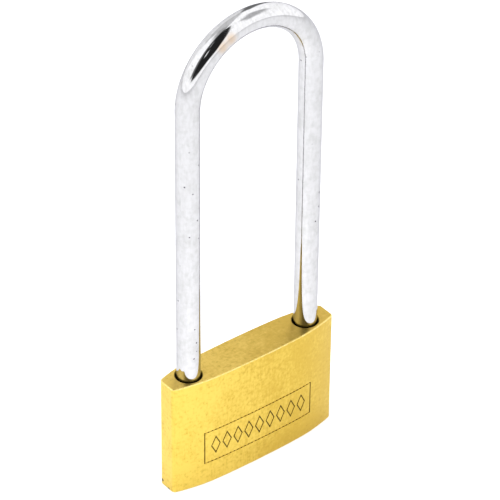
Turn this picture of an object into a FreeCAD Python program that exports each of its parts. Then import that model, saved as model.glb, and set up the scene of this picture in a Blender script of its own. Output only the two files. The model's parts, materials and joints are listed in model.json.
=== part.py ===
"""Long-shackle brass padlock with a five-pin cylinder, as one parametric document.

Frame: +X along the width, +Y from the engraved front to the back, +Z up the shackle.
The origin is the centre of the underside. Lengths are millimetres.
The lock stands closed with its cylinder turned to the open position: the bolt is drawn
back, the key pins point at the back of the lock and the driver pins rest on the plug.
"""
import FreeCAD
import Part
import Sketcher
import math
import os
from FreeCAD import Placement, Rotation, Vector

PIN_COUNT = 5

# Driving dimensions: word, value, what it is.
SIZES = [
    ("body_width", 50.0, "end to end of the brass body"),
    ("body_height", 32.4, "underside to top face"),
    ("middle_thickness", 10.2, "front to back at mid width"),
    ("end_thickness", 5.2, "front to back at the ends, before rounding"),
    ("face_radius", 300.0, "plan radius of the nearly flat middle of each face"),
    ("face_length", 24.0, "length of that middle, between the flanks"),
    ("corner_radius", 1.0, "rounding of the four upright edges"),
    ("edge_break", 0.25, "rounding of the top and bottom outlines"),
    ("rim_break", 0.2, "chamfer at the mouths of the shackle holes"),
    ("rod_diameter", 6.0, "shackle rod"),
    ("leg_pitch", 36.4, "centre to centre of the shackle legs"),
    ("leg_above_body", 76.0, "straight leg from the top face to the bend"),
    ("rod_clearance", 0.35, "gap round a leg in its hole"),
    ("end_bevel", 0.7, "bevel at the feet of the shackle"),
    ("toe_depth", 10.4, "short leg inside the body"),
    ("toe_hole_spare", 1.0, "space below the short leg"),
    ("heel_depth", 21.9, "long leg inside the body"),
    ("shackle_travel", 11.0, "lift of the shackle until it stops"),
    ("shackle_spring_room", 6.5, "space below the long leg for its spring"),
    ("shackle_spring_wire", 0.6, "wire of the spring below the long leg"),
    ("shackle_spring_margin", 0.8, "that spring narrower than the rod"),
    ("shackle_spring_turns", 5.0, "turns of that spring"),
    ("heel_foot", 1.5, "full rod below the neck of the long leg"),
    ("heel_neck_cut", 1.2, "depth of the neck and of the flat above it"),
    ("heel_pin_diameter", 2.0, "pin that keeps the long leg in the body"),
    ("heel_pin_reach", 2.6, "how far past mid thickness that pin reaches"),
    ("stop_clearance", 0.1, "gap at a retaining pin"),
    ("plug_offset", 4.0, "cylinder axis, to the toe side of mid width"),
    ("plug_diameter", 7.6, "turning cylinder plug"),
    ("turning_clearance", 0.05, "radial gap of every turning or sliding fit"),
    ("plug_groove_drop", 1.8, "retaining groove below the plug's top"),
    ("plug_groove_depth", 0.7, "depth of that groove"),
    ("plug_pin_diameter", 1.5, "pin that keeps the plug in the body"),
    ("plug_pin_reach", 2.0, "how far past mid thickness that pin reaches"),
    ("keyway_width", 1.8, "slot for the key blade"),
    ("keyway_depth", 5.4, "slot, from the plug's front wall inwards"),
    ("ward_width", 0.6, "side rib groove of the keyway"),
    ("ward_depth", 0.7, "how far that groove stands out of the slot"),
    ("ward_level", 1.1, "middle of that groove, in front of the plug axis"),
    ("keyway_height", 17.0, "slot, from the underside up"),
    ("first_pin_level", 2.8, "height of the lowest pin stack"),
    ("pin_pitch", 3.2, "between pin stacks"),
    ("pin_diameter", 2.4, "key pins and driver pins"),
    ("pin_bore_floor", 1.4, "bottom of a plug pin bore, past the plug axis"),
    ("key_pin_base", 3.0, "shortest key pin"),
    ("driver_length", 4.2, "driver pins"),
    ("pin_tip_bevel", 0.5, "bevel at pin ends"),
    ("key_pin_setback", 0.1, "key pins below the plug's round surface"),
    ("chamber_plug_length", 3.5, "plug that closes a pin chamber"),
    ("pin_spring_wire", 0.3, "wire of the pin springs"),
    ("pin_spring_margin", 0.3, "pin springs narrower than the pins"),
    ("pin_spring_turns", 7.0, "turns of a pin spring"),
    ("seat_gap", 0.05, "gap at each end of a spring"),
    ("cam_thickness", 1.8, "disc on top of the plug"),
    ("cam_rim_gap", 0.15, "gap round that disc"),
    ("cam_tongue_width", 2.0, "tongue under the disc, in the plug's top slot"),
    ("cam_tongue_height", 0.9, "tongue under the disc, downwards"),
    ("crank_radius", 2.2, "offset of the crank pin, and so the bolt's throw"),
    ("crank_diameter", 1.8, "crank pin on the disc"),
    ("crank_gap_below_bolt", 2.35, "between the disc and the bolt"),
    ("crank_engagement", 1.85, "crank pin inside the bolt"),
    ("crank_gap", 0.1, "gap between crank pin and bolt slot"),
    ("crank_head_room", 0.4, "gap above the crank pin"),
    ("latch_drop", 6.2, "bolt's axis below the top face"),
    ("latch_diameter", 4.1, "bolt"),
    ("latch_setback", 0.15, "drawn bolt, behind the wall of the toe hole"),
    ("latch_tail", 6.0, "bolt behind the plug axis"),
    ("latch_spring_room", 9.0, "space behind the bolt for its spring"),
    ("latch_spring_wire", 0.45, "wire of the bolt spring"),
    ("latch_spring_margin", 0.6, "bolt spring narrower than the bolt"),
    ("latch_spring_turns", 7.0, "turns of the bolt spring"),
    ("latch_bevel", 0.8, "bevel at the bolt's nose"),
    ("notch_depth", 2.2, "notch for the bolt in the short leg"),
    ("notch_gap", 0.3, "gap above and below the bolt in that notch"),
    ("engraving_depth", 0.16, "depth of the engraved lines"),
    ("panel_length", 33.6, "engraved frame, along the width"),
    ("panel_height", 9.8, "engraved frame, up the face"),
    ("panel_low_edge", 6.4, "lower line of the frame above the underside"),
    ("line_width", 0.3, "width of an engraved line"),
    ("lozenge_count", 9.0, "lozenges inside the frame"),
    ("lozenge_height", 5.6, "height of a lozenge"),
    ("lozenge_gap", 0.5, "between neighbouring lozenges"),
    ("lozenge_end_gap", 1.4, "between the row of lozenges and the frame"),
]

# How much longer each key pin is than the shortest, lowest stack first.
KEY_PIN_STEPS = [0.8, 0.0, 1.2, 0.4, 0.8]

# Places that several pieces share, in words of the sheet.
HALF_WIDTH = "Sizes.body_width / 2"
HALF_THICK = "Sizes.middle_thickness / 2"
TOE_X = "Sizes.leg_pitch / 2"
HEEL_X = "-Sizes.leg_pitch / 2"
ROD_RADIUS = "Sizes.rod_diameter / 2"
HOLE_RADIUS = f"{ROD_RADIUS} + Sizes.rod_clearance"
TOE_FOOT = "Sizes.body_height - Sizes.toe_depth"
HEEL_FOOT = "Sizes.body_height - Sizes.heel_depth"
NECK_LOW = f"{HEEL_FOOT} + Sizes.heel_foot"
HEEL_PIN_LEVEL = f"{NECK_LOW} + Sizes.shackle_travel + Sizes.stop_clearance + Sizes.heel_pin_diameter / 2"
HEEL_FLAT_X = f"{HEEL_X} + {ROD_RADIUS} - Sizes.heel_neck_cut"
HEEL_PIN_X = f"{HEEL_FLAT_X} + Sizes.stop_clearance + Sizes.heel_pin_diameter / 2"
LATCH_LEVEL = "Sizes.body_height - Sizes.latch_drop"
LATCH_UNDERSIDE = f"{LATCH_LEVEL} - Sizes.latch_diameter / 2"
CAM_TOP = f"{LATCH_UNDERSIDE} - Sizes.crank_gap_below_bolt"
PLUG_TOP = f"{CAM_TOP} - Sizes.cam_thickness"
PLUG_GROOVE_LEVEL = f"{PLUG_TOP} - Sizes.plug_groove_drop"
PLUG_RADIUS = "Sizes.plug_diameter / 2"
PLUG_BORE_RADIUS = f"{PLUG_RADIUS} + Sizes.turning_clearance"
GROOVE_RADIUS = f"{PLUG_RADIUS} - Sizes.plug_groove_depth"
PLUG_PIN_X = f"Sizes.plug_offset - ({GROOVE_RADIUS} + Sizes.stop_clearance + Sizes.plug_pin_diameter / 2)"
PIN_BORE_RADIUS = "Sizes.pin_diameter / 2 + Sizes.turning_clearance"
SHEAR_LINE = f"Sizes.plug_offset + {PLUG_BORE_RADIUS}"
CHAMBER_STOP = f"{HALF_WIDTH} - Sizes.chamber_plug_length"
CRANK_HEIGHT = "Sizes.crank_gap_below_bolt + Sizes.crank_engagement"
LATCH_BORE_RADIUS = "Sizes.latch_diameter / 2 + Sizes.turning_clearance"
LATCH_NOSE = f"{TOE_X} - ({HOLE_RADIUS}) - Sizes.latch_setback"
LATCH_BACK = "Sizes.plug_offset - Sizes.latch_tail"
LATCH_BORE_END = f"{LATCH_BACK} - Sizes.latch_spring_room"
PANEL_MIDDLE = "Sizes.panel_low_edge + Sizes.panel_height / 2"


def make_sheet(doc):
    """Put every driving dimension in a cell of its own, under its word."""
    sheet = doc.addObject("Spreadsheet::Sheet", "Sizes")
    for row, (word, value, note) in enumerate(SIZES, start=1):
        sheet.set(f"A{row}", word)
        sheet.set(f"B{row}", str(value))
        sheet.setAlias(f"B{row}", word)
        sheet.set(f"C{row}", note)
    doc.recompute()
    return sheet


def number(doc, expression):
    """The present value of an expression of the sheet."""
    return float(doc.Sizes.evalExpression(expression))


def bind(target, **expressions):
    """Bind properties to expressions; a double underscore stands for a dot."""
    for name, expression in expressions.items():
        target.setExpression(name.replace("__", "."), expression)


def place(target, x="0", y="0", level="0", turn=None):
    """Turn a piece, then keep its base point at three expressions."""
    target.Placement = Placement(Vector(), turn or Rotation())
    bind(target, Placement__Base__x=x, Placement__Base__y=y, Placement__Base__z=level)


def new_body(doc, label):
    """An empty PartDesign body."""
    body = doc.addObject("PartDesign::Body", label)
    body.Label = label
    return body


def sketch_on(body, name, role, away="0", across="0", along="0"):
    """An empty sketch on one of the body's origin planes, moved by expressions."""
    sketch = body.newObject("Sketcher::SketchObject", f"{body.Name}_{name}")
    plane = next(item for item in body.Origin.OriginFeatures if item.Role == role)
    sketch.AttachmentSupport = (plane, [""])
    sketch.MapMode = "FlatFace"
    bind(
        sketch,
        AttachmentOffset__Base__x=across,
        AttachmentOffset__Base__y=along,
        AttachmentOffset__Base__z=away,
    )
    return sketch


def fix(sketch, kind, name, expression, *places):
    """Add a dimension to a sketch and bind it to an expression."""
    value = number(sketch.Document, expression)
    index = sketch.addConstraint(Sketcher.Constraint(kind, *places, value))
    sketch.renameConstraint(index, name)
    sketch.setExpression(f"Constraints.{name}", expression)


def add_circle(sketch, diameter, x="0", y="0"):
    """A circle whose size and centre are bound to expressions."""
    doc = sketch.Document
    centre = Vector(number(doc, x), number(doc, y), 0)
    circle = Part.Circle(centre, Vector(0, 0, 1), number(doc, diameter) / 2)
    index = sketch.addGeometry(circle)
    fix(sketch, "Diameter", f"diameter_{index}", diameter, index)
    fix(sketch, "DistanceX", f"x_{index}", x, -1, 1, index, 3)
    fix(sketch, "DistanceY", f"y_{index}", y, -1, 1, index, 3)


def add_polygon(sketch, points):
    """A closed outline whose corners are bound to pairs of expressions."""
    doc = sketch.Document
    spots = [Vector(number(doc, x), number(doc, y), 0) for x, y in points]
    first = sketch.GeometryCount
    count = len(spots)
    for here in range(count):
        sketch.addGeometry(Part.LineSegment(spots[here], spots[(here + 1) % count]))
    for here in range(count):
        after = first + (here + 1) % count
        sketch.addConstraint(Sketcher.Constraint("Coincident", first + here, 2, after, 1))
    for here, (x, y) in enumerate(points):
        fix(sketch, "DistanceX", f"x_{first + here}", x, -1, 1, first + here, 1)
        fix(sketch, "DistanceY", f"y_{first + here}", y, -1, 1, first + here, 1)


def add_rectangle(sketch, left, right, low, high):
    """A rectangle between four expressions."""
    add_polygon(sketch, [(left, low), (right, low), (right, high), (left, high)])


def pad(body, sketch, length, backwards=False):
    """Add material from a sketch."""
    feature = body.newObject("PartDesign::Pad", f"{sketch.Name}_pad")
    feature.Profile = sketch
    feature.Reversed = backwards
    bind(feature, Length=length)
    return feature


def cut(body, sketch, length=None, backwards=False, midplane=False):
    """Take material away from a sketch, all the way through if no length is given."""
    body.Document.recompute()
    before = body.Shape.Volume
    feature = body.newObject("PartDesign::Pocket", f"{sketch.Name}_cut")
    feature.Profile = sketch
    feature.Reversed = backwards
    feature.Midplane = midplane
    if length is None:
        feature.Type = "ThroughAll"
    else:
        bind(feature, Length=length)
    body.Document.recompute()
    confirm_smaller(body, before, feature)
    return feature


def groove(body, sketch):
    """Cut a full turn about the sketch's upright axis."""
    body.Document.recompute()
    before = body.Shape.Volume
    feature = body.newObject("PartDesign::Groove", f"{sketch.Name}_groove")
    feature.Profile = sketch
    feature.ReferenceAxis = (sketch, ["V_Axis"])
    feature.Angle = 360
    body.Document.recompute()
    confirm_smaller(body, before, feature)
    return feature


def confirm_smaller(body, before, feature):
    """Stop if a cut has taken nothing away."""
    if body.Shape.Volume >= before:
        raise ValueError(f"{feature.Name} removes nothing")


def repeat(body, feature, count, pitch):
    """Repeat a feature up the body's Z axis and make the row the body's result."""
    axis = next(item for item in body.Origin.OriginFeatures if item.Role == "Z_Axis")
    pattern = body.newObject("PartDesign::LinearPattern", f"{feature.Name}_row")
    pattern.Originals = [feature]
    pattern.Direction = (axis, [""])
    pattern.Occurrences = count
    bind(pattern, Length=f"{count - 1} * {pitch}")
    body.Tip = pattern
    return pattern


def edges_where(feature, test):
    """Names of the edges of a feature's shape that pass a test."""
    feature.Document.recompute()
    return [f"Edge{i}" for i, edge in enumerate(feature.Shape.Edges, start=1) if test(edge)]


def finish_edges(body, kind, name, size, test):
    """Round or bevel the edges of the body's present shape that pass a test."""
    base = body.Tip
    names = edges_where(base, test)
    if not names:
        raise ValueError(f"{body.Name} has no edge for {name}")
    feature = body.newObject(f"PartDesign::{kind}", f"{body.Name}_{name}")
    feature.Base = (base, names)
    bind(feature, **{"Radius" if kind == "Fillet" else "Size": size})
    return feature


def level_edge(level, tolerance=1e-4):
    """A test for edges that lie flat at one height."""
    def test(edge):
        box = edge.BoundBox
        return abs(box.ZMin - level) < tolerance and abs(box.ZMax - level) < tolerance
    return test


def flank_arc(face_end, end_corner, slope):
    """An arc that leaves a face at a slope and runs to the corner of an end."""
    run = abs(end_corner.x - face_end.x)
    fall = abs(face_end.y) - abs(end_corner.y)
    tilt = math.atan2(fall, run) - slope
    chord = math.hypot(run, fall)
    bulge = chord / (2 * math.sin(tilt)) * (1 - math.cos(tilt))
    outward = Vector(math.copysign(fall, face_end.x), math.copysign(run, face_end.y), 0)
    outward.normalize()
    return (face_end + end_corner) * 0.5 + outward * bulge


def add_outline(sketch, inset="0"):
    """The barrel plan: two flat ends, two nearly flat faces and four tangent flanks."""
    doc = sketch.Document
    thick = f"{HALF_THICK} - {inset}"
    end = f"Sizes.end_thickness / 2 - {inset}"
    radius = f"Sizes.face_radius - {inset}"
    face = "Sizes.face_length / 2"
    half_face = number(doc, face)
    slope = math.asin(half_face / number(doc, radius))
    apex = number(doc, thick)
    join = apex - number(doc, radius) * (1 - math.cos(slope))
    wide = number(doc, HALF_WIDTH)
    corner = number(doc, end)

    def quarter(hand, side):
        """Face end, flank middle and end corner; hand is the X side, side the Y side."""
        face_end = Vector(hand * half_face, side * join, 0)
        end_corner = Vector(hand * wide, side * corner, 0)
        return face_end, flank_arc(face_end, end_corner, slope), end_corner

    right_front = quarter(1, -1)
    right_back = quarter(1, 1)
    left_back = quarter(-1, 1)
    left_front = quarter(-1, -1)
    edges = [
        Part.Arc(left_front[0], Vector(0, -apex, 0), right_front[0]),
        Part.Arc(*right_front),
        Part.LineSegment(right_front[2], right_back[2]),
        Part.Arc(*reversed(right_back)),
        Part.Arc(right_back[0], Vector(0, apex, 0), left_back[0]),
        Part.Arc(*left_back),
        Part.LineSegment(left_back[2], left_front[2]),
        Part.Arc(*reversed(left_front)),
    ]
    for edge in edges:
        sketch.addGeometry(edge)
    for here in range(len(edges)):
        after = (here + 1) % len(edges)
        touches_face = here in (0, 4) or after in (0, 4)
        kind = "Tangent" if touches_face else "Coincident"
        sketch.addConstraint(Sketcher.Constraint(kind, here, 2, after, 1))
    for arc, side, name in ((0, 1, "front"), (4, -1, "back")):
        fix(sketch, "Radius", f"{name}_radius", radius, arc)
        fix(sketch, "DistanceX", f"{name}_middle", "0", -1, 1, arc, 3)
        centre = f"{side} * ({radius} - ({thick}))"
        fix(sketch, "DistanceY", f"{name}_centre", centre, -1, 1, arc, 3)
        fix(sketch, "DistanceX", f"{name}_start", f"{-side} * {face}", -1, 1, arc, 1)
        fix(sketch, "DistanceX", f"{name}_end", f"{side} * {face}", -1, 1, arc, 2)
    corners = ((2, 1, 1, -1), (2, 2, 1, 1), (6, 1, -1, 1), (6, 2, -1, -1))
    for line, point, hand, side in corners:
        name = f"corner_{line}_{point}"
        fix(sketch, "DistanceX", f"{name}_x", f"{hand} * {HALF_WIDTH}", -1, 1, line, point)
        fix(sketch, "DistanceY", f"{name}_y", f"{side} * ({end})", -1, 1, line, point)


def make_blank(doc, label, inset="0"):
    """The solid body without holes, rounded at its corners; inset makes it slimmer."""
    body = new_body(doc, label)
    outline = sketch_on(body, "outline", "XY_Plane")
    add_outline(outline, inset)
    pad(body, outline, "Sizes.body_height")
    wide = number(doc, HALF_WIDTH)
    deep = number(doc, "Sizes.end_thickness / 2")

    def upright_corner(edge):
        """True for the four upright edges at the ends."""
        box = edge.BoundBox
        return box.ZLength > 1 and abs(box.XMin) > wide - 0.01 and abs(box.YMin) > deep - 1

    finish_edges(body, "Fillet", "corners", "Sizes.corner_radius", upright_corner)
    height = number(doc, "Sizes.body_height")
    for level, name in ((0, "under_edge"), (height, "top_edge")):
        finish_edges(body, "Fillet", name, "Sizes.edge_break", level_edge(level))
    return body


def drill_shackle_holes(body):
    """The short leg's shallow hole, the long leg's deep hole and their bevelled mouths."""
    toe = sketch_on(body, "toe_hole", "XY_Plane", away="Sizes.body_height")
    add_circle(toe, f"2 * ({HOLE_RADIUS})", x=TOE_X)
    cut(body, toe, "Sizes.toe_depth + Sizes.toe_hole_spare")
    heel = sketch_on(body, "heel_hole", "XY_Plane", away="Sizes.body_height")
    add_circle(heel, f"2 * ({HOLE_RADIUS})", x=HEEL_X)
    cut(body, heel, "Sizes.heel_depth + Sizes.shackle_spring_room")
    doc = body.Document
    at_top = level_edge(number(doc, "Sizes.body_height"))
    radius = number(doc, HOLE_RADIUS)

    def mouth(edge):
        """True for the two circles in the top face."""
        return at_top(edge) and abs(edge.BoundBox.YLength - 2 * radius) < 0.01

    finish_edges(body, "Chamfer", "mouths", "Sizes.rim_break", mouth)


def bore_cylinder_room(body):
    """The plug's bore with the cam's room above it, and the bolt's bore across it."""
    plug = sketch_on(body, "plug_bore", "XY_Plane")
    add_circle(plug, f"2 * ({PLUG_BORE_RADIUS})", x="Sizes.plug_offset")
    cut(body, plug, LATCH_LEVEL, backwards=True)
    bolt = sketch_on(body, "bolt_bore", "YZ_Plane", away=HALF_WIDTH)
    add_circle(bolt, f"2 * ({LATCH_BORE_RADIUS})", y=LATCH_LEVEL)
    cut(body, bolt, f"{HALF_WIDTH} - ({LATCH_BORE_END})")


def drill_chambers(body):
    """The row of pin chambers, drilled from the toe end into the plug's bore."""
    chamber = sketch_on(body, "chamber", "YZ_Plane", away=HALF_WIDTH)
    add_circle(chamber, f"2 * ({PIN_BORE_RADIUS})", y="Sizes.first_pin_level")
    drilled = cut(body, chamber, f"{HALF_WIDTH} - Sizes.plug_offset")
    repeat(body, drilled, PIN_COUNT, "Sizes.pin_pitch")


def drill_retaining_holes(body):
    """Blind holes from the back face for the two retaining pins."""
    holes = (
        ("heel_pin_hole", "Sizes.heel_pin_diameter", HEEL_PIN_X, HEEL_PIN_LEVEL, "Sizes.heel_pin_reach"),
        ("plug_pin_hole", "Sizes.plug_pin_diameter", PLUG_PIN_X, PLUG_GROOVE_LEVEL, "Sizes.plug_pin_reach"),
    )
    for name, diameter, x, level, reach in holes:
        hole = sketch_on(body, name, "XZ_Plane", away=reach)
        add_circle(hole, diameter, x=x, y=level)
        cut(body, hole)


def make_engraving(doc, floor):
    """What the engraver takes off the front: a frame of fine lines round a lozenge row."""
    body = new_body(doc, "engraving_lines")
    half_long = "Sizes.panel_length / 2"
    top = "Sizes.panel_low_edge + Sizes.panel_height"
    frame = sketch_on(body, "frame", "XZ_Plane")
    add_rectangle(frame, f"-{half_long}", half_long, "Sizes.panel_low_edge", top)
    add_rectangle(
        frame,
        f"-{half_long} + Sizes.line_width",
        f"{half_long} - Sizes.line_width",
        "Sizes.panel_low_edge + Sizes.line_width",
        f"{top} - Sizes.line_width",
    )
    pad(body, frame, "Sizes.middle_thickness")
    row = "(Sizes.panel_length - 2 * Sizes.line_width - 2 * Sizes.lozenge_end_gap)"
    pitch = f"{row} / Sizes.lozenge_count"
    reach = f"({pitch} - Sizes.lozenge_gap) / 2"
    rise = "Sizes.lozenge_height / 2"
    first = f"-{row} / 2 + ({pitch}) / 2"
    lozenge = sketch_on(body, "lozenge", "XZ_Plane")
    for inset in ("0", "Sizes.line_width"):
        slant = f"sqrt(1 + ({reach}) ^ 2 / ({rise}) ^ 2)"
        thin = f"{inset} * {slant}"
        side = f"{reach} - {thin}"
        tall = f"{rise} - {thin} * {rise} / ({reach})"
        add_polygon(lozenge, [
            (f"{first} - ({side})", PANEL_MIDDLE),
            (first, f"{PANEL_MIDDLE} - ({tall})"),
            (f"{first} + {side}", PANEL_MIDDLE),
            (first, f"{PANEL_MIDDLE} + {tall}"),
        ])
    cutter = pad(body, lozenge, "Sizes.middle_thickness")
    axis = next(item for item in body.Origin.OriginFeatures if item.Role == "X_Axis")
    pattern = body.newObject("PartDesign::LinearPattern", "lozenge_row")
    pattern.Originals = [cutter]
    pattern.Direction = (axis, [""])
    bind(pattern, Length=f"({row}) - {pitch}", Occurrences="Sizes.lozenge_count")
    body.Tip = pattern
    lines = doc.addObject("Part::Cut", "engraving")
    lines.Base = body
    lines.Tool = floor
    return lines


def make_lock_body(doc):
    """The brass body: the drilled blank with the engraving cut into its front face."""
    machined = make_blank(doc, "machined_body")
    drill_shackle_holes(machined)
    bore_cylinder_room(machined)
    drill_chambers(machined)
    drill_retaining_holes(machined)
    floor = make_blank(doc, "engraving_floor", inset="Sizes.engraving_depth")
    lock_body = doc.addObject("Part::Cut", "lock_body")
    lock_body.Base = machined
    lock_body.Tool = make_engraving(doc, floor)
    return lock_body


def make_shackle(doc):
    """The long shackle: one bent rod, necked at the heel and notched at the toe."""
    body = new_body(doc, "shackle")
    centre = number(doc, "Sizes.body_height + Sizes.leg_above_body")
    half_pitch = number(doc, TOE_X)
    toe_foot = number(doc, TOE_FOOT)
    heel_foot = number(doc, HEEL_FOOT)
    path = sketch_on(body, "path", "XZ_Plane")
    toe_top = Vector(half_pitch, centre, 0)
    heel_top = Vector(-half_pitch, centre, 0)
    path.addGeometry(Part.LineSegment(Vector(half_pitch, toe_foot, 0), toe_top))
    path.addGeometry(Part.Arc(toe_top, Vector(0, centre + half_pitch, 0), heel_top))
    path.addGeometry(Part.LineSegment(heel_top, Vector(-half_pitch, heel_foot, 0)))
    path.addConstraint(Sketcher.Constraint("Tangent", 0, 2, 1, 1))
    path.addConstraint(Sketcher.Constraint("Tangent", 1, 2, 2, 1))
    path.addConstraint(Sketcher.Constraint("Vertical", 0))
    fix(path, "DistanceX", "toe_x", TOE_X, -1, 1, 0, 1)
    fix(path, "DistanceY", "toe_foot", TOE_FOOT, -1, 1, 0, 1)
    fix(path, "DistanceX", "bend_x", "0", -1, 1, 1, 3)
    fix(path, "DistanceY", "bend_level", "Sizes.body_height + Sizes.leg_above_body", -1, 1, 1, 3)
    fix(path, "DistanceX", "heel_x", HEEL_X, -1, 1, 2, 2)
    fix(path, "DistanceY", "heel_foot", HEEL_FOOT, -1, 1, 2, 2)
    section = sketch_on(body, "section", "XY_Plane", away=TOE_FOOT)
    add_circle(section, "Sizes.rod_diameter", x=TOE_X)
    rod = body.newObject("PartDesign::AdditivePipe", "shackle_rod")
    rod.Profile = section
    rod.Spine = (path, [])
    for level, name in ((toe_foot, "toe_bevel"), (heel_foot, "heel_bevel")):
        finish_edges(body, "Chamfer", name, "Sizes.end_bevel", level_edge(level))

    notch = sketch_on(body, "notch", "XZ_Plane")
    half_notch = "(Sizes.latch_diameter / 2 + Sizes.notch_gap)"
    add_rectangle(
        notch,
        f"{TOE_X} - Sizes.rod_diameter",
        f"{TOE_X} - {ROD_RADIUS} + Sizes.notch_depth",
        f"{LATCH_LEVEL} - {half_notch}",
        f"{LATCH_LEVEL} + {half_notch}",
    )
    cut(body, notch, "2 * Sizes.rod_diameter", midplane=True)

    flat_top = f"{HEEL_PIN_LEVEL} + Sizes.heel_pin_diameter / 2 + Sizes.stop_clearance"
    neck_high = f"{flat_top} - Sizes.shackle_travel"
    flat = sketch_on(body, "flat", "XZ_Plane")
    add_rectangle(flat, HEEL_FLAT_X, f"{HEEL_X} + Sizes.rod_diameter", NECK_LOW, flat_top)
    cut(body, flat, "2 * Sizes.rod_diameter", midplane=True)
    neck = sketch_on(body, "neck", "XZ_Plane", across=HEEL_X)
    add_rectangle(
        neck, f"{ROD_RADIUS} - Sizes.heel_neck_cut", "Sizes.rod_diameter", NECK_LOW, neck_high
    )
    groove(body, neck)
    return body


def make_retaining_pin(doc, label, blank, diameter, x, level, reach):
    """A drive pin across the lock, ground flush with the back face."""
    rod = doc.addObject("Part::Cylinder", f"{label}_rod")
    bind(rod, Radius=f"{diameter} / 2", Height=f"Sizes.middle_thickness + {reach}")
    place(rod, x, f"-{reach}", level, Rotation(Vector(1, 0, 0), -90))
    pin = doc.addObject("Part::Common", label)
    pin.Base = rod
    pin.Tool = blank
    return pin


def make_bolt_bore_plug(doc, blank):
    """The plug that closes the bolt's bore, ground flush with the toe end."""
    rod = doc.addObject("Part::Cylinder", "latch_bore_plug_rod")
    inner = f"{TOE_X} + {HOLE_RADIUS}"
    bind(rod, Radius=LATCH_BORE_RADIUS, Height=f"{HALF_WIDTH} - ({inner})")
    place(rod, inner, "0", LATCH_LEVEL, Rotation(Vector(0, 1, 0), 90))
    plug = doc.addObject("Part::Common", "latch_bore_plug")
    plug.Base = rod
    plug.Tool = blank
    return plug


def make_key_plug(doc):
    """The turning plug with its keyway, pin bores, retaining groove and top slot."""
    body = new_body(doc, "key_plug")
    barrel = sketch_on(body, "barrel", "XY_Plane")
    add_circle(barrel, "Sizes.plug_diameter")
    pad(body, barrel, PLUG_TOP)

    keyway = sketch_on(body, "keyway", "XY_Plane")
    half_way = "Sizes.keyway_width / 2"
    ward_low = "-Sizes.ward_level - Sizes.ward_width / 2"
    ward_high = "-Sizes.ward_level + Sizes.ward_width / 2"
    ward_out = f"{half_way} + Sizes.ward_depth"
    floor = f"Sizes.keyway_depth - {PLUG_RADIUS}"
    add_polygon(keyway, [
        (f"-{half_way}", "-Sizes.plug_diameter"),
        (half_way, "-Sizes.plug_diameter"),
        (half_way, ward_low),
        (ward_out, ward_low),
        (ward_out, ward_high),
        (half_way, ward_high),
        (half_way, floor),
        (f"-{half_way}", floor),
    ])
    cut(body, keyway, "Sizes.keyway_height", backwards=True)

    bore = sketch_on(body, "pin_bore", "XZ_Plane", away="Sizes.pin_bore_floor")
    add_circle(bore, f"2 * ({PIN_BORE_RADIUS})", y="Sizes.first_pin_level")
    drilled = cut(body, bore)
    repeat(body, drilled, PIN_COUNT, "Sizes.pin_pitch")

    ring = sketch_on(body, "ring", "XZ_Plane")
    half_ring = "(Sizes.plug_pin_diameter / 2 + Sizes.stop_clearance)"
    low = f"{PLUG_GROOVE_LEVEL} - {half_ring}"
    high = f"{PLUG_GROOVE_LEVEL} + {half_ring}"
    add_rectangle(ring, GROOVE_RADIUS, "Sizes.plug_diameter", low, high)
    groove(body, ring)

    slot = sketch_on(body, "slot", "XY_Plane", away=PLUG_TOP)
    half_slot = "Sizes.cam_tongue_width / 2"
    add_rectangle(
        slot, "-Sizes.plug_diameter", "Sizes.plug_diameter", f"-{half_slot}", half_slot
    )
    cut(body, slot, "Sizes.cam_tongue_height")
    place(body, "Sizes.plug_offset")
    return body


def make_cam(doc):
    """The disc on top of the plug, with a tongue below and an off-centre crank pin above."""
    body = new_body(doc, "plug_cam")
    disc_radius = f"{PLUG_RADIUS} - Sizes.cam_rim_gap"
    disc = sketch_on(body, "disc", "XY_Plane", away=PLUG_TOP)
    add_circle(disc, f"2 * ({disc_radius})")
    pad(body, disc, "Sizes.cam_thickness")
    tongue = sketch_on(body, "tongue", "XY_Plane", away=PLUG_TOP)
    half_long = f"{GROOVE_RADIUS} - Sizes.cam_rim_gap"
    half_wide = "Sizes.cam_tongue_width / 2"
    add_rectangle(tongue, f"-({half_long})", half_long, f"-{half_wide}", half_wide)
    pad(body, tongue, "Sizes.cam_tongue_height", backwards=True)
    crank = sketch_on(body, "crank", "XY_Plane", away=CAM_TOP)
    add_circle(crank, "Sizes.crank_diameter", y="Sizes.crank_radius")
    pad(body, crank, CRANK_HEIGHT)
    place(body, "Sizes.plug_offset")
    return body


def make_latch_bolt(doc):
    """The round bolt, bevelled at its nose, with a slot below for the crank pin."""
    body = new_body(doc, "latch_bolt")
    end = sketch_on(body, "end", "YZ_Plane", away=LATCH_BACK)
    add_circle(end, "Sizes.latch_diameter", y=LATCH_LEVEL)
    pad(body, end, f"{LATCH_NOSE} - ({LATCH_BACK})")
    nose = number(doc, LATCH_NOSE)

    def nose_edge(edge):
        """True for the circle at the bolt's nose."""
        box = edge.BoundBox
        return abs(box.XMin - nose) < 1e-4 and abs(box.XMax - nose) < 1e-4

    finish_edges(body, "Chamfer", "nose", "Sizes.latch_bevel", nose_edge)
    slot = sketch_on(body, "slot", "XZ_Plane")
    half_crank = "(Sizes.crank_diameter / 2 + Sizes.crank_gap)"
    add_rectangle(
        slot,
        f"Sizes.plug_offset - {half_crank}",
        f"Sizes.plug_offset + {half_crank} + Sizes.crank_radius",
        f"{LATCH_LEVEL} - Sizes.latch_diameter",
        f"{LATCH_UNDERSIDE} + Sizes.crank_engagement + Sizes.crank_head_room",
    )
    cut(body, slot, "2 * Sizes.latch_diameter", midplane=True)
    return body


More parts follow.
